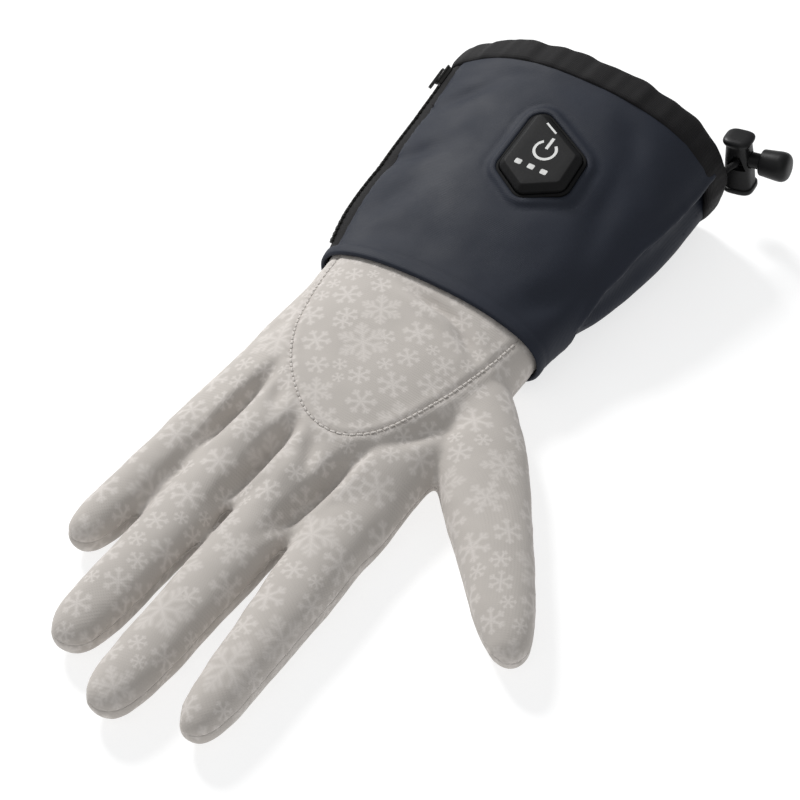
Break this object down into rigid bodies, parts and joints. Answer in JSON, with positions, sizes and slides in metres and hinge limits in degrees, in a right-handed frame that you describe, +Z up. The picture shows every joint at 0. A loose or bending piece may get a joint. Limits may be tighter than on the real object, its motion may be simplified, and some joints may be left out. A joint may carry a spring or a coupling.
{
  "type": "heated glove",
  "caption": "Right-hand heated glove in snowflake jersey with a dark softshell gauntlet cuff, five-sided control, side zip and drawcord with cord lock.",
  "frame": {"origin": "middle of the glove's footprint, on the surface it lies on", "axes": "+Z up out of the back of the hand, +Y from the fingertips towards the arm opening, +X towards the thumb side"},
  "size_m": [0.1628, 0.3124, 0.0541],
  "materials": {
    "print_jersey": "matte",
    "softshell": "matte",
    "edging": "matte",
    "zip_fabric": "matte",
    "slider_metal": "satin",
    "black_plastic": "satin",
    "black_rubber": "satin",
    "light_window": "gloss"
  },
  "bodies": {
    "glove": {"back_panel": "print_jersey", "back_inset": "print_jersey", "palm_panel": "print_jersey", "cuff_top_panel": "softshell", "cuff_side_gusset": "softshell", "cuff_under_panel": "softshell", "cuff_binding": "edging", "zip_tape": "zip_fabric", "zip_chain": "zip_fabric", "zip_slider": "slider_metal", "control_base": "black_plastic", "cord_lock_body": "black_plastic", "drawcord": "edging"},
    "control": {"control_button": "black_rubber", "indicator_light_1": "light_window", "indicator_light_2": "light_window", "indicator_light_3": "light_window"},
    "lock_plunger": {"cord_lock_plunger": "black_plastic"}
  },
  "joints": [
    {"name": "control_press", "type": "slide", "parent": "glove", "child": "control", "axis": [0, 0.2378, -0.9713], "range_m": [0, 0.0008], "stiffness_N_per_m": 1500},
    {"name": "plunger_press", "type": "slide", "parent": "glove", "child": "lock_plunger", "axis": [-0.9871, -0.1212, -0.1045], "range_m": [0, 0.003], "stiffness_N_per_m": 700}
  ]
}
